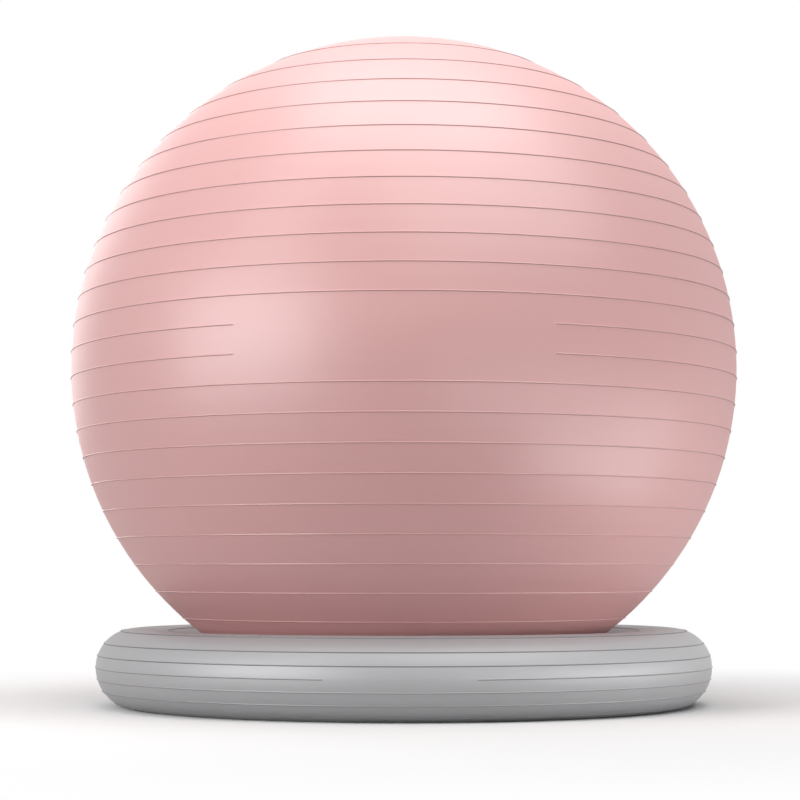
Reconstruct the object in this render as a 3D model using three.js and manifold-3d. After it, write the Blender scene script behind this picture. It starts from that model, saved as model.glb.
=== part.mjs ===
// Balance ball chair: a pumped-up ball seated in a pumped-up floor ring, each with its own valve and plug.
// Millimetres, +Z up. The origin is on the floor, on the axis that the ball and the ring share.
// The bare window, where the middle ribs stop, faces -Y, and both valves are opposite it, on the +Y side.
import * as THREE from "three";
import { mergeVertices } from "three/addons/utils/BufferGeometryUtils.js";
import Module from "manifold-3d";

const wasm = await Module();
wasm.setup();

// Ball, pumped up, with nobody on it
const ballDiameter = 650; // over the skin between the ribs
const ballWall = 0.9;
const ballFloorGap = 2.6; // under the ball as the ring holds it
const ballRibsPerHalf = 12; // above the equator, and as many below
const ballLastRibShare = 0.906; // height of the last rib above the centre, as a share of the radius
const ballWindowLeftDegrees = 26.8; // from the front to where the two middle ribs begin again
const ballWindowRightDegrees = 23.4;

// Floor ring: its section has a round outer half and a wider inner half, which reaches under the ball
const ringDiameter = 597; // over the skin between the ribs
const ringHeight = 73.8;
const ringWaistHeight = 37.8; // level at which the section is widest
const ringBulge = 36; // from the crest of the section out to the widest point
const ringWall = 0.9;
const ringFloorPress = 1; // how far the floor flattens the soft ring
const ringSeatPress = 2; // how far the ball presses into it
const ringRibsPerHalf = 3; // above the waist, and as many below
const ringLastRibShare = 0.942; // height of the last rib from the waist, as a share of the lesser half height
const ringWindowLeftDegrees = 13.4; // from the front to where the waist rib begins again
const ringWindowRightDegrees = 12;

// Moulded ribs, alike on both
const ribHeight = 0.7;
const ribWidth = 1.5;
const ribRoot = 0.3; // depth to which a rib that stops short is sunk into the skin
const ribStop = 3; // from the edge of a valve to the end of a rib

// Valve seats and plugs, alike in both
const plugStemDiameter = 8;
const plugStemLength = 14;
const plugTaper = 3; // length of the narrowing tip
const plugTipDiameter = 6;
const plugHeadDiameter = 12.4;
const plugHeadThickness = 1.6;
const plugHeadBevel = 0.4;
const seatNeckWall = 2.5; // round the head of the plug
const seatSleeveWall = 2; // round the stem
const seatFlangeOverlap = 3; // how far the flange reaches under the skin, past the neck
const seatFlangeThickness = 1.5;
const valveInset = 1; // from the skin's furthest point in to the face of the valve
const clearance = 0.3; // between pieces that touch or slide

// Fineness of the solids
const roundSides = 36; // of the ball and of the ring, so that their facets match
const valveSides = 20;
const ballStepDegrees = 8.5;
const ringStepDegrees = 19;
const shoulderSteps = 60; // places at which the ring's shoulder is tried against the ball
const overrun = 5; // of a cutter past what it cuts

// Sizes that follow
const radians = THREE.MathUtils.degToRad;
const quarterTurn = Math.PI / 2;
const ballRadius = ballDiameter / 2;
const ballCentreHeight = ballRadius + ballFloorGap;
const ringRadius = ringDiameter / 2;
const ringCrestRadius = ringRadius - ringBulge;
const ringUpperHalf = ringHeight - ringWaistHeight;
const ringLowerHalf = ringWaistHeight + ringFloorPress;
const boreRadius = plugStemDiameter / 2 + clearance;
const recessRadius = plugHeadDiameter / 2 + clearance;
const recessDepth = plugHeadThickness + clearance;
const neckRadius = recessRadius + seatNeckWall;
const flangeRadius = neckRadius + seatFlangeOverlap;
const valveHoleRadius = neckRadius + clearance;
const seatDepth = plugHeadThickness + plugStemLength - plugTaper;

// The inner half of the section is hidden: it is as wide as its shoulder needs to meet the ball.
function innerBulge() {
  const pressedRadius = ballRadius + ribHeight + clearance - ringSeatPress;
  let width = ringCrestRadius;
  for (let step = 0; step < shoulderSteps; step += 1) {
    const angle = (quarterTurn * step) / shoulderSteps;
    const drop = ballCentreHeight - ringWaistHeight - ringUpperHalf * Math.sin(angle);
    const ballReach = Math.sqrt(pressedRadius ** 2 - drop ** 2);
    width = Math.min(width, (ringCrestRadius - ballReach) / Math.cos(angle));
  }
  return width;
}

// A stretch of an oval outline, in radius and height, between two angles from its waist. Its stations
// are the angles of the ribs.
function stretch(centre, halfWidth, halfHeight, from, to, stations, step) {
  return { centre, halfWidth, halfHeight, from, to, stations, step: radians(step) };
}

// The point of a stretch at an angle, lifted off the skin and slid along it.
function skinPoint(part, angle, lift, slide = 0) {
  const across = Math.cos(angle) / part.halfWidth;
  const up = Math.sin(angle) / part.halfHeight;
  const normal = new THREE.Vector2(across, up).normalize();
  const along = new THREE.Vector2(-normal.y, normal.x);
  const point = new THREE.Vector2(part.halfWidth * Math.cos(angle), part.halfHeight * Math.sin(angle));
  return point.add(part.centre).addScaledVector(normal, lift).addScaledVector(along, slide);
}

// The three corners of a rib's section.
function ribPoints(part, angle, root = 0) {
  return [
    skinPoint(part, angle, -root, -ribWidth / 2),
    skinPoint(part, angle, ribHeight),
    skinPoint(part, angle, -root, ribWidth / 2),
  ];
}

// The points of a stretch, lifted alike, or with a rib at each station that ribbed allows.
function stretchPoints(part, lift, ribbed = () => false) {
  const stops = [part.from, ...part.stations, part.to];
  const points = [skinPoint(part, part.from, lift)];
  for (let stop = 1; stop < stops.length; stop += 1) {
    const gap = stops[stop] - stops[stop - 1];
    const steps = Math.ceil(gap / part.step);
    for (let step = 1; step < steps; step += 1) {
      points.push(skinPoint(part, stops[stop - 1] + (gap * step) / steps, lift));
    }
    const last = stop === stops.length - 1;
    if (!last && ribbed(stops[stop])) points.push(...ribPoints(part, stops[stop]));
    else points.push(skinPoint(part, stops[stop], lift));
  }
  return points;
}

// The angles at which an oval outline reaches the heights of its ribs.
function ribAngles(heights, halfHeight) {
  return heights.map((height) => Math.asin(height / halfHeight));
}

function solidOf(geometry) {
  geometry.deleteAttribute("normal");
  geometry.deleteAttribute("uv");
  const merged = mergeVertices(geometry);
  const corners = Array.from(merged.index.array);
  const triVerts = [];
  for (let first = 0; first < corners.length; first += 3) {
    const [a, b, c] = corners.slice(first, first + 3);
    if (a !== b && b !== c && c !== a) triVerts.push(a, b, c);
  }
  const vertProperties = merged.attributes.position.array;
  const mesh = new wasm.Mesh({ numProp: 3, vertProperties, triVerts: new Uint32Array(triVerts) });
  return new wasm.Manifold(mesh);
}

function geometryOf(solid) {
  const mesh = solid.getMesh();
  const geometry = new THREE.BufferGeometry();
  geometry.setAttribute("position", new THREE.BufferAttribute(new Float32Array(mesh.vertProperties), 3));
  geometry.setIndex(new THREE.BufferAttribute(new Uint32Array(mesh.triVerts), 1));
  geometry.computeVertexNormals();
  return geometry;
}

// Turned round the upright axis, with a corner at the front, so that ball and ring have matching facets.
function revolve(points, height = 0) {
  const geometry = new THREE.LatheGeometry(points, roundSides);
  geometry.rotateX(quarterTurn);
  geometry.translate(0, 0, height);
  return solidOf(geometry);
}

// The wedge between two directions from the front, wide enough to cut a rib away.
function frontWedge(leftDegrees, rightDegrees, radius, halfHeight) {
  const far = (radius + overrun) / Math.cos(radians(Math.max(leftDegrees, rightDegrees)));
  const shape = new THREE.Shape([
    new THREE.Vector2(0, 0),
    new THREE.Vector2(-far * Math.sin(radians(leftDegrees)), -far * Math.cos(radians(leftDegrees))),
    new THREE.Vector2(far * Math.sin(radians(rightDegrees)), -far * Math.cos(radians(rightDegrees))),
  ]);
  const geometry = new THREE.ExtrudeGeometry(shape, { depth: 2 * halfHeight, bevelEnabled: false });
  geometry.translate(0, 0, -halfHeight);
  return solidOf(geometry);
}

// A round cutter along +Y, out through the skin on the valve's side.
function valveCutter(radius, from, to, height = 0) {
  const geometry = new THREE.CylinderGeometry(radius, radius, to - from, valveSides);
  geometry.translate(0, (from + to) / 2, height);
  return solidOf(geometry);
}

// How far the faceted skin has fallen away at the edge of a valve's flange.
function skinFall(skinRadius, sectionRadius) {
  const round = skinRadius - Math.sqrt(skinRadius ** 2 - flangeRadius ** 2);
  const section = sectionRadius - Math.sqrt(sectionRadius ** 2 - flangeRadius ** 2);
  return Math.max(section, round) + flangeRadius * Math.tan(Math.PI / roundSides);
}

// Valve seat: neck with a recess for the plug's head, flange under the skin, sleeve round the stem.
// Its face is at 0, and it reaches inwards along -Y.
function valveSeat(flangeDepth) {
  const sleeveRadius = boreRadius + seatSleeveWall;
  const geometry = new THREE.LatheGeometry([
    new THREE.Vector2(boreRadius, -recessDepth),
    new THREE.Vector2(boreRadius, -seatDepth),
    new THREE.Vector2(sleeveRadius, -seatDepth),
    new THREE.Vector2(sleeveRadius, -flangeDepth - seatFlangeThickness),
    new THREE.Vector2(flangeRadius, -flangeDepth - seatFlangeThickness),
    new THREE.Vector2(flangeRadius, -flangeDepth),
    new THREE.Vector2(neckRadius, -flangeDepth),
    new THREE.Vector2(neckRadius, 0),
    new THREE.Vector2(recessRadius, 0),
    new THREE.Vector2(recessRadius, -recessDepth),
    new THREE.Vector2(boreRadius, -recessDepth),
  ], valveSides);
  return geometryOf(solidOf(geometry));
}

// Plug: flat head, flush with the seat's face, and a stem with a narrowing tip.
function plug() {
  const length = plugHeadThickness + plugStemLength;
  const geometry = new THREE.LatheGeometry([
    new THREE.Vector2(0, -length),
    new THREE.Vector2(plugTipDiameter / 2, -length),
    new THREE.Vector2(plugStemDiameter / 2, -length + plugTaper),
    new THREE.Vector2(plugStemDiameter / 2, -plugHeadThickness),
    new THREE.Vector2(plugHeadDiameter / 2, -plugHeadThickness),
    new THREE.Vector2(plugHeadDiameter / 2, -plugHeadBevel),
    new THREE.Vector2(plugHeadDiameter / 2 - plugHeadBevel, 0),
    new THREE.Vector2(0, 0),
  ], valveSides);
  return geometryOf(solidOf(geometry));
}

// Ball: one outline from the bottom to the top, with a station at each rib.
const ballRibPitch = (ballRadius * ballLastRibShare) / (ballRibsPerHalf - 1 / 2);
const ballRibHeights = [];
for (let rib = -ballRibsPerHalf; rib < ballRibsPerHalf; rib += 1) {
  ballRibHeights.push(ballRibPitch * (rib + 1 / 2));
}
const ballSkin = stretch(
  new THREE.Vector2(0, 0),
  ballRadius,
  ballRadius,
  -quarterTurn,
  quarterTurn,
  ribAngles(ballRibHeights, ballRadius),
  ballStepDegrees,
);
const middleRibAngle = Math.asin(ballRibPitch / 2 / ballRadius);
const ballFlangeDepth = ballWall + skinFall(ballRadius, ballRadius) + clearance - valveInset;

function ballBladder() {
  const whole = (angle) => Math.abs(angle) > middleRibAngle * (1 + 1 / ballRibsPerHalf);
  const ribRadius = ballRadius + ribHeight;
  const window = frontWedge(ballWindowLeftDegrees, ballWindowRightDegrees, ribRadius, ballRibPitch);
  let solid = revolve(stretchPoints(ballSkin, 0, whole));
  for (const angle of [-middleRibAngle, middleRibAngle]) {
    const [below, peak, above] = ribPoints(ballSkin, angle, ribRoot);
    solid = solid.add(revolve([below, peak, above, below]).subtract(window));
  }
  const hole = valveCutter(valveHoleRadius, ballRadius - ballFlangeDepth - overrun, ballRadius + overrun);
  return solid.subtract(revolve(stretchPoints(ballSkin, -ballWall))).subtract(hole);
}

// Floor ring: four quarters of its section, once round from the bottom by way of the outside. The rib
// nearest the crest has a fellow at its own height on the inner side, where the ball leaves it clear.
const ringRibPitch = (Math.min(ringUpperHalf, ringLowerHalf) * ringLastRibShare) / ringRibsPerHalf;
const ringRibHeights = [];
for (let rib = 1; rib <= ringRibsPerHalf; rib += 1) {
  ringRibHeights.push(ringRibPitch * rib);
}
const ringCentre = new THREE.Vector2(ringCrestRadius, ringWaistHeight);
const ringInnerBulge = innerBulge();
const ringAnglesAbove = ribAngles(ringRibHeights, ringUpperHalf);
const ringAnglesBelow = ribAngles(ringRibHeights, ringLowerHalf).map((angle) => -angle).reverse();
const ringInnerAngles = [2 * quarterTurn - ringAnglesAbove.at(-1)];
function innerStretch(halfHeight, from, stations) {
  const to = from + quarterTurn;
  return stretch(ringCentre, ringInnerBulge, halfHeight, from, to, stations, ringStepDegrees);
}
const ringQuarters = [
  stretch(ringCentre, ringBulge, ringLowerHalf, -quarterTurn, 0, ringAnglesBelow, ringStepDegrees),
  stretch(ringCentre, ringBulge, ringUpperHalf, 0, quarterTurn, ringAnglesAbove, ringStepDegrees),
  innerStretch(ringUpperHalf, quarterTurn, ringInnerAngles),
  innerStretch(ringLowerHalf, 2 * quarterTurn, []),
];

// The ring's section turned round, pressed flat by the floor and hollowed where the ball sits.
function ringSolid(depth, ribbed) {
  const points = ringQuarters.flatMap((quarter) => stretchPoints(quarter, -depth, ribbed).slice(1));
  const floor = new THREE.BoxGeometry(ringDiameter + overrun, ringDiameter + overrun, ringWaistHeight);
  floor.translate(0, 0, depth - ringWaistHeight / 2);
  const seat = revolve(stretchPoints(ballSkin, ribHeight + clearance + depth), ballCentreHeight);
  return revolve([points.at(-1), ...points]).subtract(solidOf(floor)).subtract(seat);
}

function ringBladder() {
  const waistRib = ribPoints(ringQuarters[1], 0, ribRoot);
  const ribRadius = ringRadius + ribHeight;
  const window = frontWedge(ringWindowLeftDegrees, ringWindowRightDegrees, ribRadius, ringHeight);
  const bare = valveCutter(neckRadius + ribStop, ringCrestRadius, ringRadius + overrun, ringWaistHeight);
  const hole = valveCutter(valveHoleRadius, ringCrestRadius, ringRadius + overrun, ringWaistHeight);
  const rib = revolve([...waistRib, waistRib[0]]).subtract(window).subtract(bare);
  return ringSolid(0, () => true).add(rib).subtract(ringSolid(ringWall)).subtract(hole);
}

// Materials
const ballVinyl = new THREE.MeshStandardMaterial({ color: 0xe3b6b3, roughness: 0.42, metalness: 0 });
const ringVinyl = new THREE.MeshStandardMaterial({ color: 0xb9babc, roughness: 0.4, metalness: 0 });
const plugPlastic = new THREE.MeshStandardMaterial({ color: 0xe8e6e2, roughness: 0.5, metalness: 0 });

function piece(name, geometry, material, y = 0, z = 0) {
  const mesh = new THREE.Mesh(geometry, material);
  mesh.name = name;
  mesh.position.set(0, y, z);
  return mesh;
}

// Ball, with its valve at the equator, between the two middle ribs
const ballValveFace = ballRadius - valveInset;
const ball = new THREE.Group();
ball.position.z = ballCentreHeight;
ball.add(piece("ball_bladder", geometryOf(ballBladder()), ballVinyl));
ball.add(piece("ball_valve_seat", valveSeat(ballFlangeDepth), ballVinyl, ballValveFace));
ball.add(piece("ball_plug", plug(), plugPlastic, ballValveFace));

// Floor ring, with its valve at the waist
const ringValveFace = ringRadius - valveInset;
const ringFlangeDepth = ringWall + skinFall(ringRadius, ringBulge) + clearance - valveInset;
const ring = new THREE.Group();
ring.add(piece("ring_bladder", geometryOf(ringBladder()), ringVinyl));
ring.add(piece("ring_valve_seat", valveSeat(ringFlangeDepth), ringVinyl, ringValveFace, ringWaistHeight));
ring.add(piece("ring_plug", plug(), plugPlastic, ringValveFace, ringWaistHeight));

const chair = new THREE.Group();
chair.add(ring, ball);

export default chair;
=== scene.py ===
# Balance ball chair, dressed for looks: a pumped-up pink ball seated in a pumped-up silver-grey floor ring.
# Lengths are millimetres until they become a mesh, a lamp or the camera. +Z up, and the front faces -Y.
import math
from collections import namedtuple

import bmesh
import bpy
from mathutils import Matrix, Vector


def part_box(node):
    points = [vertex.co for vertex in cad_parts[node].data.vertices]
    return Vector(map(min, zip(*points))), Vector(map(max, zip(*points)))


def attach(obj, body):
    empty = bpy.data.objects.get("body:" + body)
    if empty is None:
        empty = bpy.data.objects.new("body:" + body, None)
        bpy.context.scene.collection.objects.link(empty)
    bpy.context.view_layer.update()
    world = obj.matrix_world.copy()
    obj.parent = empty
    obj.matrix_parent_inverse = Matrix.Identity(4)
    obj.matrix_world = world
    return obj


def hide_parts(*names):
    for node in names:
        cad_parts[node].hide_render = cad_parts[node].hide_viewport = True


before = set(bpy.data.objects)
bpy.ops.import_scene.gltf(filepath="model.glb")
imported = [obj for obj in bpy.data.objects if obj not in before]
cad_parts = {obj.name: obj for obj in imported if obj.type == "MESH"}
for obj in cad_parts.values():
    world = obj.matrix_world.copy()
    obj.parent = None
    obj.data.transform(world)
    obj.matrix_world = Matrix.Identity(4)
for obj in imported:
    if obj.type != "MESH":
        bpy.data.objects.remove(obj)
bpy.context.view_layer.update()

MM = 0.001


def box_in_mm(node):
    """Lowest and highest corner of a solid's box."""
    low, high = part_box(node)
    return low / MM, high / MM


# Moulded ribs, alike on the ball and the ring
RIB_HEIGHT = 0.7
RIB_WIDTH = 1.2
RIB_FULLNESS = 0.6  # 1 is a plain wave, and less stands up more steeply from the skin
RIB_LEAN = 0.2  # how far the crest hangs towards the lower side, as a share of half the width
RIB_END = 1.6  # length over which a rib that stops short rounds off
RIB_STOP = 3  # from the neck of a valve to the end of a rib
RIB_STEPS = 3  # rows of faces up each flank
RIB_FOOT_SHARE = 0.25  # narrow rows beside a rib, as a share of its half width, keep the skin there even
RIB_END_SHARES = (-1 / 3, 0, 1 / 3, 2 / 3, 1)  # columns over a rib's end, and one before it

# Ball
BALL_LOW, BALL_HIGH = box_in_mm("ball_bladder")
BALL_RADIUS = (BALL_HIGH.z - BALL_LOW.z) / 2
BALL_CENTRE = (BALL_HIGH.z + BALL_LOW.z) / 2
BALL_WALL = 0.9
BALL_RIBS_PER_HALF = 12
BALL_LAST_RIB_SHARE = 0.906  # how far up the top rib lies, as a share of the radius
BALL_RIB_PITCH = BALL_RADIUS * BALL_LAST_RIB_SHARE / (BALL_RIBS_PER_HALF - 0.5)
BALL_WINDOW = (26.8, 23.4)  # degrees left and right of the front where the two middle ribs begin again
BALL_DOWNWARD_PAINTED_SHADE = 0.4  # share of painted shade that covers a whole rib where the skin faces straight down

# Floor ring
RING_HIGH = box_in_mm("ring_bladder")[1]
RING_RADIUS = RING_HIGH.x - RIB_HEIGHT
RING_HEIGHT = RING_HIGH.z
RING_WAIST = 37.8  # height at which it is widest
RING_BULGE = 36  # how far it bulges out from under its crest
RING_INNER_BULGE = 99.2  # and in, as far as the shoulder needs to reach under the ball
RING_WALL = 0.9
RING_FLOOR_PRESS = 1  # how far the floor pushes its underside in
RING_RIBS_PER_HALF = 3  # above the waist rib, and as many below it
RING_LAST_RIB_SHARE = 0.942  # how far up from the waist the top rib lies, as a share of the way to the crest
RING_RIB_PITCH = (RING_HEIGHT - RING_WAIST) * RING_LAST_RIB_SHARE / RING_RIBS_PER_HALF
RING_WINDOW = (13.4, 12)  # degrees left and right of the front where the waist rib begins again
RING_DOWNWARD_PAINTED_SHADE = 0.6  # painted shade over whole ribs, as on the ball
SEAT_SOFTNESS = RING_FLOOR_PRESS  # how gently the skin turns where the ball or the floor flattens it

# Valve seats and plugs
CLEARANCE = 0.3
SEAT_NECK = 9
SEAT_RECESS = 6.5
SEAT_RECESS_DEPTH = 1.9
SEAT_BORE = 4.3
SEAT_SLEEVE = 6.3
SEAT_FLANGE_THICKNESS = 1.5
SEAT_COLLAR = 0.7  # height of the neck's rim, which fills the skin's hole, above the valve's face
SEAT_COLLAR_WIDTH = 0.8
SEAT_GROOVE_WIDTH = 0.5  # a fine moulded ring round the recess
SEAT_GROOVE_DEPTH = 0.3
SEAT_EDGE = 0.3  # rounding of its edges
SEAT_FINE_EDGE = 0.1  # rounding of the groove's edges, and of the corner in which the skin sits
SKIN_LIP = 0.25  # height of the rolled lip of the skin round a valve
SKIN_LIP_SHARES = ((3, 0), (2.3, 0.3), (1.7, 0.85), (1, 1), (0.3, 0.75), (0, 0.2))  # how far out and how high
PLUG_HEAD = 6.2
PLUG_HEAD_THICKNESS = 1.6
PLUG_STEM = 4
PLUG_TIP = 3
PLUG_TAPER = 3
PLUG_BEADS = 3  # sealing beads round the stem
PLUG_BEAD_HEIGHT = 0.15
PLUG_DIMPLE = 1.5  # the mark of the mould's gate, in the middle of the head
PLUG_DIMPLE_DEPTH = 0.35
PLUG_CROWN = 0.3  # how far the head falls away at its edge
PLUG_CROWN_SHARES = (0.7, 0.2)  # the crown begins this far out, and falls this little until there
PLUG_EDGE = 0.3  # rounding of its edges
PLUG_TIP_EDGE = 0.6

# Fineness of the meshes
ROUND_COLUMNS = 256
INNER_COLUMNS = 64
BALL_STEP = math.radians(2.4)
RING_STEP = math.radians(5)
VALVE_SEGMENTS = 72
VALVE_SHARP_TURN = 50  # degrees between two faces of a valve or plug from which their edge looks sharp
ROUNDING_STEPS = 4
BEAD_STEPS = 8
VALVE_SQUARE = 11.2  # half width of the square of skin that gives way to a valve's round hole
VALVE_SQUARE_RISE = 10.2  # its half height
VALVE_SQUARE_PARTS = 8
RING_VALVE_ROWS = 3  # rows in each half of the square on the ring, above and below its waist rib
RIB_PAINTED_SHADE = "rib_painted_shade"  # attribute of a skin's corners that holds the shade painted along its ribs

# The middle of an oval outline, as a radius and a height, and how far it reaches out, in, up and down
Outline = namedtuple("Outline", "radius height outer inner upper lower")
# A row of corners round the axis: its angle on the outline, its share of a rib's height, and its share of the
# shade painted on the rib
Row = namedtuple("Row", "angle rise shade broken", defaults=(0, 0, False))
BALL_OUTLINE = Outline(0, BALL_CENTRE, BALL_RADIUS, BALL_RADIUS, BALL_RADIUS, BALL_RADIUS)
RING_OUTLINE = Outline(
    RING_RADIUS - RING_BULGE,
    RING_WAIST,
    RING_BULGE,
    RING_INNER_BULGE,
    RING_HEIGHT - RING_WAIST,
    RING_WAIST + RING_FLOOR_PRESS,
)


def oval_reach(outline, angle):
    """Half width and half height of the quarter of an oval outline that an angle is in."""
    half_width = outline.outer if math.cos(angle) > 0 else outline.inner
    half_height = outline.upper if math.sin(angle) > 0 else outline.lower
    return half_width, half_height


def oval_point(outline, angle, lift):
    """Radius and height of an oval outline at an angle from its waist, lifted off the skin."""
    half_width, half_height = oval_reach(outline, angle)
    across = math.cos(angle) / half_width
    up = math.sin(angle) / half_height
    reach = lift / math.hypot(across, up)
    radius = outline.radius + half_width * math.cos(angle) + across * reach
    return radius, outline.height + half_height * math.sin(angle) + up * reach


def plain_rows(start, end, step):
    """Rows of bare skin between two angles, without the ends."""
    count = math.ceil((end - start) / step)
    return [Row(start + (end - start) * part / count) for part in range(1, count)]


def rib_rows(outline, angle, broken, downward_painted_shade):
    """Rows over one rounded rib, with shade painted on from its lower foot up, and a narrow bare row on both
    sides.
    """
    half_width, half_height = oval_reach(outline, angle)
    length = math.hypot(half_width * math.sin(angle), half_height * math.cos(angle))
    half_rib = RIB_WIDTH / 2 / length
    # painted shade: over the whole rib the more the skin faces down, and on top of that darker towards the
    # lower foot
    below = downward_painted_shade * max(-math.sin(angle), 0)
    rows = []
    for part in range(-RIB_STEPS, RIB_STEPS + 1):
        place = part / RIB_STEPS
        rise = max(math.cos(math.pi / 2 * place), 0) ** RIB_FULLNESS
        shade = below + (1 - below) * (1 - place) / 2
        rows.append(Row(angle + half_rib * (place - RIB_LEAN * rise), rise, shade, broken))
    foot = half_rib * (1 + RIB_FOOT_SHARE)
    return [Row(angle - foot), *rows, Row(angle + foot)]


def skin_rows(groups, start, end, step):
    """Rows from start to end: the groups that are given, and bare skin between them."""
    rows = [Row(start)]
    for group in groups:
        rows += plain_rows(rows[-1].angle, group[0].angle, step) + group
    return rows + plain_rows(rows[-1].angle, end, step)


def columns(count, special):
    """Directions in degrees from the front towards the right, evenly spread but for the special ones."""
    spacing = 360 / count
    even = [spacing * turn for turn in range(count)]
    return sorted(special + [way for way in even if all(abs(way - other) > spacing / 2 for other in special)])


def turned_point(radius, height, way):
    """A point at a radius and a height, in a direction given in degrees from the front towards the right."""
    turn = math.radians(way)
    return Vector((radius * math.sin(turn), -radius * math.cos(turn), height))


def from_front(way):
    """Degrees from the front, negative towards the left."""
    return (way + 180) % 360 - 180


def past_window(window, way):
    """Degrees past the nearer edge of a bare window, and less than nothing in it."""
    left, right = window
    return max(-left - from_front(way), from_front(way) - right)


def rib_end(past):
    """How much of a broken rib's height is left, this far past its end."""
    return math.sin(math.pi / 2 * min(max(past / RIB_END, 0), 1))


def end_ways(radius):
    """Degrees past the end of a rib at which columns draw how it rounds off."""
    return [math.degrees(RIB_END * share / radius) for share in RIB_END_SHARES]


def window_columns(window, radius):
    """Directions of the columns over the rib ends on both sides of a bare window."""
    left, right = window
    return [right + way for way in end_ways(radius)] + [360 - left - way for way in end_ways(radius)]


def soft_limit(value, limit, softness):
    """The value, kept from falling below the limit by a gentle turn."""
    blend = min(max(0.5 + 0.5 * (value - limit) / softness, 0), 1)
    return limit + (value - limit) * blend + softness * blend * (1 - blend)


def pressed(radius, height, depth):
    """A point of the ring's skin, kept clear of the ball and flat on the floor."""
    above = height - BALL_CENTRE
    reach = math.hypot(radius, above)
    room = BALL_RADIUS + RIB_HEIGHT + CLEARANCE + depth
    push = soft_limit(reach, room, SEAT_SOFTNESS) / reach
    return radius * push, soft_limit(BALL_CENTRE + above * push, depth, SEAT_SOFTNESS)


def unpressed(radius, height, depth):
    """A point of the ball's skin, which keeps its round shape at any depth."""
    return radius, height


def lay_skin(form, outline, rows, ways, depth, press, rib_share):
    """Corners of one skin of a bladder, row by row round the axis."""
    # the layer that carries the shade painted along the ribs
    shade = form.verts.layers.float[RIB_PAINTED_SHADE]
    grid = []
    for row in rows:
        loop = []
        for way in ways:
            share = rib_share(way) if row.broken else 1
            lift = RIB_HEIGHT * row.rise * share - depth
            radius, height = press(*oval_point(outline, row.angle, lift), depth)
            corner = form.verts.new(turned_point(radius, height, way) * MM)
            corner[shade] = row.shade * share
            loop.append(corner)
        grid.append(loop)
    return grid


def join_skin(form, grid, hole_rows, hole_columns, closed):
    """Faces between the corners of a skin, apart from those that the valve's hole takes."""
    last = len(grid) if closed else len(grid) - 1
    for row in range(last):
        upper = grid[(row + 1) % len(grid)]
        for column, corner in enumerate(grid[row]):
            if row in hole_rows and column in hole_columns:
                continue
            beside = (column + 1) % len(upper)
            form.faces.new((corner, grid[row][beside], upper[beside], upper[column]))


def close_with_tip(form, loop, tip):
    """A fan of triangles between a loop and one corner."""
    for step, corner in enumerate(loop):
        form.faces.new((corner, loop[(step + 1) % len(loop)], tip))


def hole_edge(grid, hole_rows, hole_columns):
    """The corners round a hole in a skin, in order."""
    low, high = hole_rows.start, hole_rows.stop
    left, right = hole_columns.start, hole_columns.stop
    bottom = [grid[low][column] for column in range(left, right)]
    side = [grid[row][right] for row in range(low, high)]
    top = [grid[high][column] for column in range(right, left, -1)]
    return bottom + side + top + [grid[row][left] for row in range(high, low, -1)]


def bridge(form, first, second):
    """A band of faces between two loops that have as many corners."""
    for step, corner in enumerate(first):
        after = (step + 1) % len(first)
        form.faces.new((corner, first[after], second[after], second[step]))


def hole_loop(form, outline, edge, radius, lift):
    """A round loop of corners on the skin, at a distance from the valve's axis, facing an edge's corners."""
    loop = []
    half_width = max(abs(corner.co.x) for corner in edge)
    half_height = max(abs(corner.co.z / MM - outline.height) for corner in edge) * MM
    for corner in edge:
        across = corner.co.x / half_width
        up = (corner.co.z - outline.height * MM) / half_height
        size = math.hypot(across, up)
        x = radius * across / size
        rise = radius * up / size
        level = math.sqrt(1 - (rise / outline.upper) ** 2)
        skin = outline.radius + outline.outer * level + lift
        y = math.sqrt(skin ** 2 - x ** 2)
        loop.append(form.verts.new(Vector((x, y, outline.height + rise)) * MM))
    return loop


def valve_hole(form, outline, outer_edge, inner_edge, wall):
    """The round hole through both skins, with a rolled lip outside."""
    hole = SEAT_NECK + CLEARANCE
    lip = [(hole + SKIN_LIP * out, SKIN_LIP * up) for out, up in SKIN_LIP_SHARES]
    lip += [(hole, -wall), (lip[0][0], -wall)]
    last = outer_edge
    for radius, lift in lip:
        loop = hole_loop(form, outline, outer_edge, radius, lift)
        bridge(form, last, loop)
        last = loop
    bridge(form, last, inner_edge)


def finished_piece(name, form, material, body, node, sharp_turn=180):
    """Makes the mesh object for a node, smooth but for its sharp turns, and says what it stands for."""
    bmesh.ops.recalc_face_normals(form, faces=form.faces)
    mesh = bpy.data.meshes.new(name)
    form.to_mesh(mesh)
    form.free()
    mesh.shade_smooth()
    mesh.set_sharp_from_angle(angle=math.radians(sharp_turn))
    mesh.materials.append(material)
    piece = bpy.data.objects.new(name, mesh)
    bpy.context.scene.collection.objects.link(piece)
    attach(piece, body)
    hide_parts(node)
    return piece


def valve_columns(radius):
    """Directions of the columns that cross the valve's square, opposite the front."""
    shares = [2 * part / VALVE_SQUARE_PARTS - 1 for part in range(VALVE_SQUARE_PARTS + 1)]
    return [180 + math.degrees(VALVE_SQUARE * share / radius) for share in shares]


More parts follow.
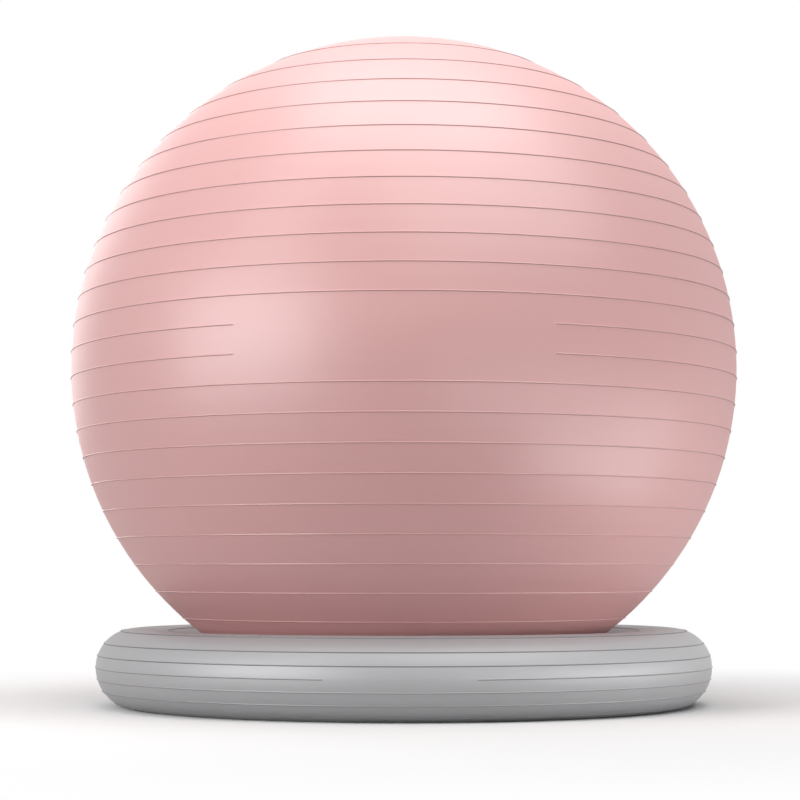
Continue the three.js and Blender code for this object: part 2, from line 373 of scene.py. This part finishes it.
def bladder(outline, wall, groups, valve_group, specials, step, press, rib_share, poles):
    """Both skins of a bladder, joined at the valve's hole.

    Groups are the rows over the ribs and over the valve's square, from below upwards, and valve_group is the
    one of them over the square. Specials are the directions in which a column has to lie. A bladder with
    poles is closed on the axis, and one without runs round to its own start.
    """
    form = bmesh.new()
    # a layer for the shade painted along the ribs
    form.verts.layers.float.new(RIB_PAINTED_SHADE)
    valve_ways = valve_columns(outline.radius + outline.outer)
    ways = columns(ROUND_COLUMNS, valve_ways + specials)
    inner_ways = columns(INNER_COLUMNS, valve_ways)
    start = -math.pi / 2
    end = math.pi / 2 if poles else 1.5 * math.pi
    edges = []
    for depth, grid_ways, grid_groups in ((0, ways, groups), (wall, inner_ways, [valve_group])):
        rows = skin_rows(grid_groups, start, end, step)
        if poles:
            rows = rows[1:]
        grid = lay_skin(form, outline, rows, grid_ways, depth, press, rib_share)
        first_row = rows.index(valve_group[0])
        first_way = grid_ways.index(valve_ways[0])
        hole_rows = range(first_row, first_row + len(valve_group) - 1)
        hole_columns = range(first_way, first_way + VALVE_SQUARE_PARTS)
        join_skin(form, grid, hole_rows, hole_columns, closed=not poles)
        if poles:
            bottom = outline.height - outline.lower + depth
            top = outline.height + outline.upper - depth
            for loop, height in ((grid[0], bottom), (grid[-1], top)):
                close_with_tip(form, loop, form.verts.new(Vector((0, 0, height * MM))))
        edges.append(hole_edge(grid, hole_rows, hole_columns))
    valve_hole(form, outline, edges[0], edges[1], wall)
    return form


def pink_ball(vinyl):
    """Ball: level ribs at even heights, the two middle ones broken by a bare window at the front."""
    valve_group = [
        Row(math.asin(VALVE_SQUARE_RISE * (2 * part / VALVE_SQUARE_PARTS - 1) / BALL_RADIUS))
        for part in range(VALVE_SQUARE_PARTS + 1)
    ]
    groups = []
    for rib in range(-BALL_RIBS_PER_HALF, BALL_RIBS_PER_HALF):
        angle = math.asin(BALL_RIB_PITCH * (rib + 0.5) / BALL_RADIUS)
        if rib == 0:
            groups.append(valve_group)  # it lies between the two middle ribs
        groups.append(rib_rows(BALL_OUTLINE, angle, rib in (-1, 0), BALL_DOWNWARD_PAINTED_SHADE))
    specials = window_columns(BALL_WINDOW, BALL_RADIUS)

    def rib_share(way):
        """What the bare window leaves of a broken rib's height."""
        return rib_end(math.radians(past_window(BALL_WINDOW, way)) * BALL_RADIUS)

    form = bladder(
        BALL_OUTLINE, BALL_WALL, groups, valve_group, specials, BALL_STEP, unpressed, rib_share, poles=True
    )
    ball = finished_piece("pink_ball", form, vinyl, "ball", "ball_bladder")
    return ball


def grey_ring(vinyl):
    """Floor ring: ribs round its outer side and one inside the crest, the waist rib broken at the front."""
    upper, lower = RING_OUTLINE.upper, RING_OUTLINE.lower
    heights = [RING_RIB_PITCH * rib for rib in range(1, RING_RIBS_PER_HALF + 1)]
    above = [math.asin(height / upper) for height in heights]
    below = [-math.asin(height / lower) for height in reversed(heights)]
    inside = math.pi - above[-1]
    waist_rib = rib_rows(RING_OUTLINE, 0, True, RING_DOWNWARD_PAINTED_SHADE)
    rises = [VALVE_SQUARE_RISE * part / RING_VALVE_ROWS for part in range(1, RING_VALVE_ROWS + 1)]
    over_waist = [Row(math.asin(rise / upper)) for rise in rises]
    under_waist = [Row(-math.asin(rise / lower)) for rise in reversed(rises)]
    valve_group = under_waist + waist_rib + over_waist
    groups = [rib_rows(RING_OUTLINE, angle, False, RING_DOWNWARD_PAINTED_SHADE) for angle in below] + [valve_group]
    groups += [rib_rows(RING_OUTLINE, angle, False, RING_DOWNWARD_PAINTED_SHADE) for angle in above + [inside]]
    bare = math.degrees((SEAT_NECK + RIB_STOP) / RING_RADIUS)
    specials = window_columns(RING_WINDOW, RING_RADIUS)
    specials += [180 + side * (bare + way) for side in (-1, 1) for way in end_ways(RING_RADIUS)]

    def rib_share(way):
        """What the bare window and the valve leave of the waist rib's height."""
        past = min(past_window(RING_WINDOW, way), 180 - bare - abs(from_front(way)))
        return rib_end(math.radians(past) * RING_RADIUS)

    form = bladder(
        RING_OUTLINE, RING_WALL, groups, valve_group, specials, RING_STEP, pressed, rib_share, poles=False
    )
    ring = finished_piece("grey_ring", form, vinyl, "ring", "ring_bladder")
    return ring


def rounded(corners):
    """A section's corners, each given as radius, depth and rounding, with the rounding drawn in."""
    points = []
    for place, (radius, depth, rounding) in enumerate(corners):
        corner = Vector((radius, depth))
        if rounding == 0:
            points.append(corner)
            continue
        before = Vector(corners[place - 1][:2])
        after = Vector(corners[(place + 1) % len(corners)][:2])
        start = corner + (before - corner).normalized() * rounding
        end = corner + (after - corner).normalized() * rounding
        for part in range(ROUNDING_STEPS + 1):
            share = part / ROUNDING_STEPS
            points.append(start.lerp(corner, share).lerp(corner.lerp(end, share), share))
    return points


def turn_about_y(form, points, face, height, closed):
    """Turns a section about an axis along +Y at a height, with its depth 0 at the face.

    A closed section comes back to its first point, and an open one starts and ends on the axis.
    """
    loops = []
    for radius, depth in points:
        if radius == 0:
            loops.append([form.verts.new(Vector((0, face + depth, height)) * MM)])
            continue
        loop = []
        for segment in range(VALVE_SEGMENTS):
            turn = 2 * math.pi * segment / VALVE_SEGMENTS
            point = Vector((radius * math.cos(turn), face + depth, height + radius * math.sin(turn)))
            loop.append(form.verts.new(point * MM))
        loops.append(loop)
    pairs = list(zip(loops, loops[1:]))
    if closed:
        pairs.append((loops[-1], loops[0]))
    for first, second in pairs:
        if len(first) == len(second):
            bridge(form, first, second)
        elif len(first) == 1:
            close_with_tip(form, second, first[0])
        else:
            close_with_tip(form, first, second[0])


def flange_depth(outline, wall, face, flange):
    """How far behind the valve's face the flange lies, clear of the curved skin."""
    fall = outline.upper - math.sqrt(outline.upper ** 2 - flange ** 2)
    return wall + fall + CLEARANCE - (outline.radius + outline.outer - face)


def valve_seat(name, node, body, material, outline, wall):
    """Valve seat: neck with a rim, a fine groove and a recess for the plug's head, flange and sleeve."""
    low, high = box_in_mm(node)
    face = high.y
    height = (low.z + high.z) / 2
    flange = (high.x - low.x) / 2
    depth = high.y - low.y
    upper = -flange_depth(outline, wall, face, flange)
    lower = upper - SEAT_FLANGE_THICKNESS
    collar = SEAT_NECK - SEAT_COLLAR_WIDTH
    groove = (collar + SEAT_RECESS) / 2
    corners = [
        (SEAT_BORE, -SEAT_RECESS_DEPTH, SEAT_EDGE),
        (SEAT_BORE, -depth, SEAT_EDGE),
        (SEAT_SLEEVE, -depth, SEAT_EDGE),
        (SEAT_SLEEVE, lower, SEAT_EDGE),
        (flange, lower, SEAT_EDGE),
        (flange, upper, SEAT_EDGE),
        (SEAT_NECK, upper, SEAT_FINE_EDGE),
        (SEAT_NECK, SEAT_COLLAR, SEAT_EDGE),
        (collar, SEAT_COLLAR, SEAT_EDGE),
        (collar, 0, SEAT_EDGE),
        (groove + SEAT_GROOVE_WIDTH / 2, 0, SEAT_FINE_EDGE),
        (groove, -SEAT_GROOVE_DEPTH, SEAT_FINE_EDGE),
        (groove - SEAT_GROOVE_WIDTH / 2, 0, SEAT_FINE_EDGE),
        (SEAT_RECESS, 0, SEAT_EDGE),
        (SEAT_RECESS, -SEAT_RECESS_DEPTH, SEAT_EDGE),
    ]
    form = bmesh.new()
    turn_about_y(form, rounded(corners), face, height, closed=True)
    return finished_piece(name, form, material, body, node, VALVE_SHARP_TURN)


def stopper(name, node, body, material):
    """Plug: a slightly crowned head with a moulding dimple, and a stem with sealing beads and a taper."""
    low, high = box_in_mm(node)
    face = high.y
    height = (low.z + high.z) / 2
    length = high.y - low.y
    crown_start, crown_fall = PLUG_CROWN_SHARES
    head = [
        (0, -PLUG_DIMPLE_DEPTH, 0),
        (PLUG_DIMPLE - 2 * PLUG_EDGE, -PLUG_DIMPLE_DEPTH, PLUG_EDGE),
        (PLUG_DIMPLE, 0, PLUG_EDGE),
        (PLUG_HEAD * crown_start, -PLUG_CROWN * crown_fall, PLUG_EDGE),
        (PLUG_HEAD, -PLUG_CROWN, PLUG_EDGE),
        (PLUG_HEAD, -PLUG_HEAD_THICKNESS, PLUG_EDGE),
        (PLUG_STEM, -PLUG_HEAD_THICKNESS, PLUG_EDGE),
    ]
    tip = [
        (PLUG_STEM, PLUG_TAPER - length, PLUG_TIP_EDGE),
        (PLUG_TIP, -length, PLUG_TIP_EDGE),
        (0, -length, 0),
    ]
    beads = []
    bead_run = (length - PLUG_HEAD_THICKNESS - PLUG_TAPER) / (PLUG_BEADS + 1)
    for step in range(BEAD_STEPS * PLUG_BEADS + 1):
        passed = step / BEAD_STEPS  # beads, and the first one starts half a run below the head
        bulge = PLUG_BEAD_HEIGHT * (1 - math.cos(2 * math.pi * passed)) / 2
        beads.append(Vector((PLUG_STEM + bulge, -PLUG_HEAD_THICKNESS - bead_run * (passed + 0.5))))
    points = rounded(head + tip)
    first_below = next(place for place, point in enumerate(points) if point.y < beads[-1].y)
    points[first_below:first_below] = beads
    form = bmesh.new()
    turn_about_y(form, points, face, height, closed=False)
    return finished_piece(name, form, material, body, node, VALVE_SHARP_TURN)


# Finishes


def linear(shade):
    """An sRGB hex shade as linear red, green, blue and alpha."""
    parts = [int(shade[place:place + 2], 16) / 255 for place in (1, 3, 5)]
    return [part / 12.92 if part <= 0.04045 else ((part + 0.055) / 1.055) ** 2.4 for part in parts] + [1]


def add_node(tree, kind, inputs=None, **settings):
    """Adds a node with its settings; an input is a value, or the output of a node that it is linked to."""
    node = tree.nodes.new(kind)
    for setting, value in settings.items():
        setattr(node, setting, value)
    for socket, value in (inputs or {}).items():
        if isinstance(value, bpy.types.NodeSocket):
            tree.links.new(value, node.inputs[socket])
        else:
            node.inputs[socket].default_value = value
    return node


def new_finish(name):
    """An empty material, and its node tree."""
    finish = bpy.data.materials.new(name)
    finish.use_nodes = True
    finish.node_tree.nodes.clear()
    return finish, finish.node_tree


def moulded_pvc(name, shade, cloud_shade, painted_shade_colour, roughness, gloss, metallic, haze):
    """Plasticised PVC turned in a blasted mould: a satin skin whose highlights are broad and soft-edged.

    Pigment settles unevenly over hand-wide clouds, which are also a little duller or glossier. Shade is
    painted along each raised rib, darkest at its lower foot and over whole ribs where the skin faces down,
    which draws it as a fine darker line. The blasting leaves a pebble of about 0.3 mm, too fine to show, so
    it is drawn
    2.5 mm wide and very low. Haze is how much rougher the pebble makes the skin look at a shallow angle,
    where it keeps the rims from glaring.
    """
    cloud, pebble, pebble_height = 120, 2.5, 0.05
    unevenness = 0.015  # of the roughness from cloud to cloud
    haze_start, haze_end = 0.4, 0.9  # between facing the eye, which is 0, and seen edge-on, which is 1
    finish, tree = new_finish(name)
    place = add_node(tree, "ShaderNodeTexCoord")
    clouds = add_node(
        tree, "ShaderNodeTexNoise",
        {"Vector": place.outputs["Object"], "Scale": 1 / (cloud * MM), "Detail": 2.0, "Roughness": 0.45},
    )
    skin = add_node(
        tree, "ShaderNodeMix",
        {"Factor": clouds.outputs["Fac"], "A": linear(shade), "B": linear(cloud_shade)},
        data_type="RGBA",
    )
    # painted shade along the ribs: the rib attribute mixes the colour towards the painted shade colour
    ribs = add_node(tree, "ShaderNodeAttribute", attribute_name=RIB_PAINTED_SHADE)
    colour = add_node(
        tree, "ShaderNodeMix",
        {"Factor": ribs.outputs["Fac"], "A": skin.outputs["Result"], "B": linear(painted_shade_colour)},
        data_type="RGBA",
    )
    pebbles = add_node(
        tree, "ShaderNodeTexNoise",
        {"Vector": place.outputs["Object"], "Scale": 1 / (pebble * MM), "Detail": 1.0, "Roughness": 0.5},
    )
    satin = add_node(
        tree, "ShaderNodeMapRange",
        {
            "Value": clouds.outputs["Fac"],
            "To Min": roughness - unevenness,
            "To Max": roughness + unevenness,
        },
    )
    grain = add_node(
        tree, "ShaderNodeBump",
        {"Height": pebbles.outputs["Fac"], "Strength": 0.12, "Distance": pebble_height * MM},
    )
    turned_away = add_node(tree, "ShaderNodeLayerWeight", {"Blend": 0.5})
    edge_haze = add_node(
        tree, "ShaderNodeMapRange",
        {
            "Value": turned_away.outputs["Facing"],
            "From Min": haze_start,
            "From Max": haze_end,
            "To Min": 0.0,
            "To Max": haze,
        },
    )
    dullness = add_node(
        tree, "ShaderNodeMath",
        {0: satin.outputs["Result"], 1: edge_haze.outputs["Result"]},
        operation="ADD",
    )
    shader = add_node(
        tree, "ShaderNodeBsdfPrincipled",
        {
            "Base Color": colour.outputs["Result"],
            "Roughness": dullness.outputs["Value"],
            "Metallic": metallic,
            "IOR": 1.53,
            "Specular IOR Level": gloss,
            "Normal": grain.outputs["Normal"],
        },
    )
    add_node(tree, "ShaderNodeOutputMaterial", {"Surface": shader.outputs["BSDF"]})
    return finish


def moulded_pvc_pink():
    """Blush pink, wiped with a gloss dressing after moulding, which whitens its highlights."""
    # the third hex colour is the painted shade of the ribs
    return moulded_pvc(
        "rotation-moulded PVC, blush pink", "#e7b0ae", "#e5aeac", "#aa7e7c",
        roughness=0.4, gloss=1.0, metallic=0, haze=0.15,
    )


def moulded_pvc_silver():
    """Silver grey, with a little aluminium flake in the pigment, which gives it a faint metal sheen."""
    # the third hex colour is the painted shade of the ribs
    return moulded_pvc(
        "moulded PVC, silver grey", "#b1b1b3", "#aeaeb0", "#666668",
        roughness=0.48, gloss=0.62, metallic=0.2, haze=0.0,
    )


def moulded_polyethylene():
    """Low-density polyethylene, injection moulded: off-white, waxy, a little see-through at thin edges.

    Flow marks about 4 mm wide mottle its colour and its gloss faintly.
    """
    flow_mark, see_through = 4, 0.8
    finish, tree = new_finish("injection-moulded polyethylene, off-white")
    place = add_node(tree, "ShaderNodeTexCoord")
    mottle = add_node(
        tree, "ShaderNodeTexNoise",
        {"Vector": place.outputs["Object"], "Scale": 1 / (flow_mark * MM), "Detail": 2.0},
    )
    colour = add_node(
        tree, "ShaderNodeMix",
        {"Factor": mottle.outputs["Fac"], "A": linear("#ebe9e4"), "B": linear("#e4e1db")},
        data_type="RGBA",
    )
    waxy = add_node(
        tree, "ShaderNodeMapRange",
        {"Value": mottle.outputs["Fac"], "To Min": 0.42, "To Max": 0.5},
    )
    shader = add_node(
        tree, "ShaderNodeBsdfPrincipled",
        {
            "Base Color": colour.outputs["Result"],
            "Roughness": waxy.outputs["Result"],
            "IOR": 1.51,
            "Subsurface Weight": 0.15,
            "Subsurface Scale": see_through * MM,
        },
    )
    add_node(tree, "ShaderNodeOutputMaterial", {"Surface": shader.outputs["BSDF"]})
    return finish


# Camera, floor and light; the camera is fitted to the outlines and the ribs in the photo

LENS = 99.68
SENSOR = 36
CAMERA_PLACE = (-3.7, -2179, 130.3)
CAMERA_PITCH = 94.39  # degrees up from looking straight down
LAMP_DISTANCE = 2200
WALL_GLOW = 0.05  # light of the white walls on the object; they are seen as white
FLOOR_SIZE = 12000
FLOOR_SHADE = "#f6f6f6"  # as it is seen beside the object
FLOOR_FADE = (450, 1000)  # distances from the axis over which the floor turns to the white of the background
FLOOR_BOUNCE = 0.63  # share of the light that the floor throws back beside the object
FLOOR_BOUNCE_FADE = (320, 500)  # distances from the axis over which it falls to nothing


def camera():
    """The camera of the photo."""
    lens = bpy.data.cameras.new("camera")
    lens.lens = LENS
    lens.sensor_width = SENSOR
    viewer = bpy.data.objects.new("camera", lens)
    viewer.location = Vector(CAMERA_PLACE) * MM
    viewer.rotation_euler = (math.radians(CAMERA_PITCH), 0, 0)
    bpy.context.scene.collection.objects.link(viewer)
    bpy.context.scene.camera = viewer


def light_guide(name, pieces, state):
    """Pieces that a black card keeps a lamp's light off (EXCLUDE), or that a snoot keeps it to (INCLUDE)."""
    guided = bpy.data.collections.new(name)
    for piece in pieces:
        guided.objects.link(piece)
    for member in guided.collection_objects:
        member.light_linking.link_state = state
    return guided


def softbox(name, way, elevation, width, height, brightness, distance=LAMP_DISTANCE, guided=None):
    """A soft lamp that faces the ball; brightness is how white its reflection in a mirror would be.

    Way and elevation are degrees from the front towards the right, and above the middle of the ball.
    """
    lamp = bpy.data.lights.new(name, "AREA")
    lamp.shape = "RECTANGLE"
    lamp.size = width * MM
    lamp.size_y = height * MM
    lamp.energy = brightness * math.pi * lamp.size * lamp.size_y
    holder = bpy.data.objects.new(name, lamp)
    rise = math.radians(elevation)
    offset = turned_point(distance * math.cos(rise), distance * math.sin(rise), way)
    holder.location = (Vector((0, 0, BALL_CENTRE)) + offset) * MM
    holder.rotation_euler = offset.to_track_quat("Z", "Y").to_euler()
    holder.visible_camera = False
    holder.light_linking.receiver_collection = guided
    bpy.context.scene.collection.objects.link(holder)


def lamps(floor_sheet, ring_pieces):
    """Softboxes round the set, most of them far off, and four low ones close by."""
    off_floor = light_guide("card_before_floor", [floor_sheet], "EXCLUDE")
    off_ring = light_guide("card_before_ring", ring_pieces, "EXCLUDE")
    on_ring = light_guide("snoot_on_ring", ring_pieces, "INCLUDE")
    softbox("overhead", 168, 85, 1830, 1690, 2.17)
    softbox("left", -50, 6.4, 1870, 1130, 3.87)
    softbox("left_back", -154.6, 14, 1630, 1260, 4.2, guided=off_ring)
    softbox("back", 180, 39, 1430, 1230, 0.44)
    softbox("ring_back", 180, -18.6, 1000, 60, 7, distance=900, guided=on_ring)
    softbox("front_high", 39.4, 56, 2400, 2090, 1.94)
    softbox("left_high", -48, 54.3, 690, 2340, 1.67)
    softbox("front_low", 34.6, -11, 940, 230, 1.84, distance=1100, guided=off_floor)
    softbox("right_low", 57, -27, 520, 140, 2.52, distance=650, guided=off_floor)
    softbox("right_side", 75, -14.5, 655, 210, 2.05, distance=1000, guided=off_floor)


def seen_directly(tree):
    """1 for what the camera, a reflection or a see-through piece shows, and 0 for light on the object."""
    path = add_node(tree, "ShaderNodeLightPath")
    seen = add_node(
        tree, "ShaderNodeMath",
        {0: path.outputs["Is Camera Ray"], 1: path.outputs["Is Glossy Ray"]},
        operation="MAXIMUM",
    )
    either = add_node(
        tree, "ShaderNodeMath",
        {0: seen.outputs["Value"], 1: path.outputs["Is Transmission Ray"]},
        operation="MAXIMUM",
    )
    return either.outputs["Value"]


def studio_walls():
    """White walls all round, seen as white, that throw little light on the object."""
    world = bpy.data.worlds.new("studio")
    world.use_nodes = True
    tree = world.node_tree
    tree.nodes.clear()
    strength = add_node(
        tree, "ShaderNodeMapRange",
        {"Value": seen_directly(tree), "To Min": WALL_GLOW, "To Max": 1.0},
    )
    glow = add_node(
        tree, "ShaderNodeBackground",
        {"Color": (1, 1, 1, 1), "Strength": strength.outputs["Result"]},
    )
    add_node(tree, "ShaderNodeOutputWorld", {"Surface": glow.outputs["Background"]})
    bpy.context.scene.world = world


def fade_outwards(tree, distances, near, far):
    """A value that turns gently from near to far between two distances from the axis."""
    start, end = distances
    place = add_node(tree, "ShaderNodeTexCoord")
    away = add_node(tree, "ShaderNodeVectorMath", {0: place.outputs["Object"]}, operation="LENGTH")
    fade = add_node(
        tree, "ShaderNodeMapRange",
        {
            "Value": away.outputs["Value"],
            "From Min": start * MM,
            "From Max": end * MM,
            "To Min": near,
            "To Max": far,
        },
        interpolation_type="SMOOTHSTEP",
    )
    return fade.outputs["Result"]


def matt_floor_sheet():
    """A white matt floor sheet that melts into the white background beyond the object's shadow.

    It takes a soft shadow and shows no highlight, and it throws light back only close to the object.
    """
    finish, tree = new_finish("matt floor sheet, white")
    seen = seen_directly(tree)
    bounce = fade_outwards(tree, FLOOR_BOUNCE_FADE, FLOOR_BOUNCE, 0.0)
    colour = add_node(
        tree, "ShaderNodeMix",
        {"Factor": seen, "A": bounce, "B": linear(FLOOR_SHADE)},
        data_type="RGBA",
    )
    sheet = add_node(tree, "ShaderNodeBsdfDiffuse", {"Color": colour.outputs["Result"], "Roughness": 0.5})
    glow = add_node(tree, "ShaderNodeEmission", {"Strength": seen})
    melted = fade_outwards(tree, FLOOR_FADE, 0.0, 1.0)
    surface = add_node(
        tree, "ShaderNodeMixShader",
        {0: melted, 1: sheet.outputs["BSDF"], 2: glow.outputs["Emission"]},
    )
    add_node(tree, "ShaderNodeOutputMaterial", {"Surface": surface.outputs["Shader"]})
    return finish


def floor():
    """A level square floor under the object."""
    form = bmesh.new()
    corners = [(-1, -1), (1, -1), (1, 1), (-1, 1)]
    form.faces.new([form.verts.new(Vector((x, y, 0)) * FLOOR_SIZE / 2 * MM) for x, y in corners])
    mesh = bpy.data.meshes.new("floor")
    form.to_mesh(mesh)
    form.free()
    mesh.materials.append(matt_floor_sheet())
    sheet_piece = bpy.data.objects.new("floor", mesh)
    bpy.context.scene.collection.objects.link(sheet_piece)
    return sheet_piece


def build():
    """The whole picture: camera, object, floor and light."""
    camera()
    pink = moulded_pvc_pink()
    silver = moulded_pvc_silver()
    off_white = moulded_polyethylene()
    pink_ball(pink)
    valve_seat("ball_valve", "ball_valve_seat", "ball", pink, BALL_OUTLINE, BALL_WALL)
    stopper("ball_stopper", "ball_plug", "ball_plug", off_white)
    ring_pieces = [
        grey_ring(silver),
        valve_seat("ring_valve", "ring_valve_seat", "ring", silver, RING_OUTLINE, RING_WALL),
        stopper("ring_stopper", "ring_plug", "ring_plug", off_white),
    ]
    lamps(floor(), ring_pieces)
    studio_walls()
    bpy.context.scene.view_settings.view_transform = "Standard"


build()
